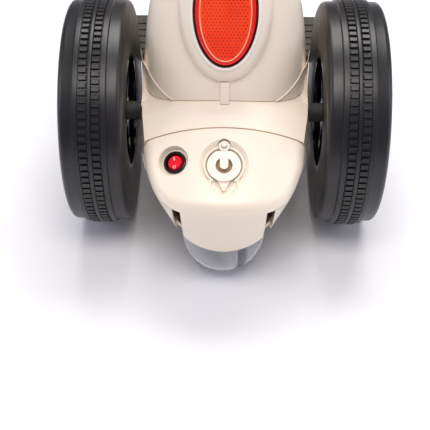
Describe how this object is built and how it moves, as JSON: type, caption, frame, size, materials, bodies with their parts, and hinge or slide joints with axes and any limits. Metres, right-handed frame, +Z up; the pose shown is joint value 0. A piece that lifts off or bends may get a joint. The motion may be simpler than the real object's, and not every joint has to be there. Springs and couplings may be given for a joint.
{
  "type": "ride-on balance robot car",
  "caption": "Ride-on balance robot car for a child: big driven wheels, a clear ball caster at each end, seat, backrest with red light, console head with levers.",
  "frame": {"origin": "on the floor, under the middle of the whole car's box", "axes": "+Z up, +Y forward in the riding direction, +X to the rider's right"},
  "size_m": [0.32, 0.4494, 0.392],
  "materials": {
    "cream_plastic": "satin",
    "tyre_plastic": "satin black",
    "black_gloss": "gloss black",
    "grey_plastic": "matt dark grey",
    "red_lens": "clear red",
    "red_gloss": "gloss red",
    "white_plastic": "gloss white",
    "clear_plastic": "clear",
    "soft_white": "soft",
    "soft_black": "matt",
    "steel": "bright",
    "circuit_board": "green",
    "battery_case": "matt",
    "blue_light": "clear blue"
  },
  "bodies": {
    "chassis": {"lower_shell": "cream_plastic", "tail_cover": "cream_plastic", "deck_shell": "cream_plastic", "seat_shell": "cream_plastic", "backrest_shell": "cream_plastic", "backrest_front": "cream_plastic", "console_column": "cream_plastic", "head_front": "cream_plastic", "head_rear": "cream_plastic", "visor": "black_gloss", "eye_lights": "blue_light", "button_housing": "grey_plastic", "lever_bushes": "grey_plastic", "footrest_left": "grey_plastic", "footrest_right": "grey_plastic", "reflector_bezel": "white_plastic", "reflector_gasket": "black_gloss", "reflector_lens": "red_lens", "tail_light_board": "circuit_board", "switch_bezel": "black_gloss", "charge_socket": "grey_plastic", "cover_anchor": "soft_white", "battery": "battery_case", "control_board": "circuit_board", "speaker": "grey_plastic", "gearbox_left": "grey_plastic", "gearbox_right": "grey_plastic", "motor_left": "steel", "motor_right": "steel", "axle_rod": "steel", "axle_nuts": "steel", "case_screws": "steel", "rear_caster_housing": "cream_plastic", "front_caster_housing": "cream_plastic"},
    "wheel_left": {"tyre_left": "tyre_plastic", "rim_left": "black_gloss", "hubcap_left": "black_gloss", "drive_sleeve_left": "grey_plastic"},
    "wheel_right": {"tyre_right": "tyre_plastic", "rim_right": "black_gloss", "hubcap_right": "black_gloss", "drive_sleeve_right": "grey_plastic"},
    "rear_swivel": {"rear_caster_yoke": "white_plastic", "rear_caster_clip": "steel"},
    "rear_ball": {"rear_caster_ball": "clear_plastic", "rear_caster_leds": "white_plastic", "rear_caster_pin": "steel"},
    "front_swivel": {"front_caster_yoke": "white_plastic", "front_caster_clip": "steel"},
    "front_ball": {"front_caster_ball": "clear_plastic", "front_caster_leds": "white_plastic", "front_caster_pin": "steel"},
    "rocker": {"power_rocker": "red_gloss"},
    "port_cover": {"charge_cover": "soft_white"},
    "lever_left": {"lever_left": "grey_plastic", "grip_left": "soft_black"},
    "lever_right": {"lever_right": "grey_plastic", "grip_right": "soft_black"},
    "horn": {"horn_button": "red_gloss"},
    "music": {"music_button": "red_gloss"}
  },
  "joints": [
    {"name": "wheel_left_spin", "type": "hinge", "parent": "chassis", "child": "wheel_left", "pos_m": [-0.129, -0.06251, 0.12], "axis": [1, 0, 0], "continuous": true},
    {"name": "wheel_right_spin", "type": "hinge", "parent": "chassis", "child": "wheel_right", "pos_m": [0.129, -0.06251, 0.12], "axis": [1, 0, 0], "continuous": true},
    {"name": "rear_caster_swivel", "type": "hinge", "parent": "chassis", "child": "rear_swivel", "pos_m": [0, -0.16551, 0.1], "axis": [0, 0, 1], "continuous": true},
    {"name": "rear_ball_roll", "type": "hinge", "parent": "rear_swivel", "child": "rear_ball", "pos_m": [0, -0.16551, 0.0435], "axis": [0.891, 0.454, 0], "continuous": true},
    {"name": "front_caster_swivel", "type": "hinge", "parent": "chassis", "child": "front_swivel", "pos_m": [0, 0.15949, 0.1], "axis": [0, 0, 1], "continuous": true},
    {"name": "front_ball_roll", "type": "hinge", "parent": "front_swivel", "child": "front_ball", "pos_m": [0, 0.15949, 0.0435], "axis": [1, 0, 0], "continuous": true},
    {"name": "power_switch_tilt", "type": "hinge", "parent": "chassis", "child": "rocker", "pos_m": [-0.0461, -0.17197, 0.14083], "axis": [-0.9511, 0.1427, -0.2741], "range_deg": [0, 16]},
    {"name": "charge_cover_lift", "type": "hinge", "parent": "chassis", "child": "port_cover", "pos_m": [0, -0.16997, 0.15671], "axis": [-1, 0, 0], "range_deg": [0, 110]},
    {"name": "lever_left_tilt", "type": "hinge", "parent": "chassis", "child": "lever_left", "pos_m": [-0.064, 0.16149, 0.238], "axis": [1, 0, 0], "range_deg": [-20, 20], "stiffness_Nm_per_rad": 1.5},
    {"name": "lever_right_tilt", "type": "hinge", "parent": "chassis", "child": "lever_right", "pos_m": [0.064, 0.16149, 0.238], "axis": [1, 0, 0], "range_deg": [-20, 20], "stiffness_Nm_per_rad": 1.5},
    {"name": "horn_press", "type": "slide", "parent": "chassis", "child": "horn", "axis": [0, 0.8102, -0.5861], "range_m": [0, 0.003], "stiffness_N_per_m": 300, "springref_m": -0.001},
    {"name": "music_press", "type": "slide", "parent": "chassis", "child": "music", "axis": [0, 0.8102, -0.5861], "range_m": [0, 0.003], "stiffness_N_per_m": 300, "springref_m": -0.001}
  ]
}
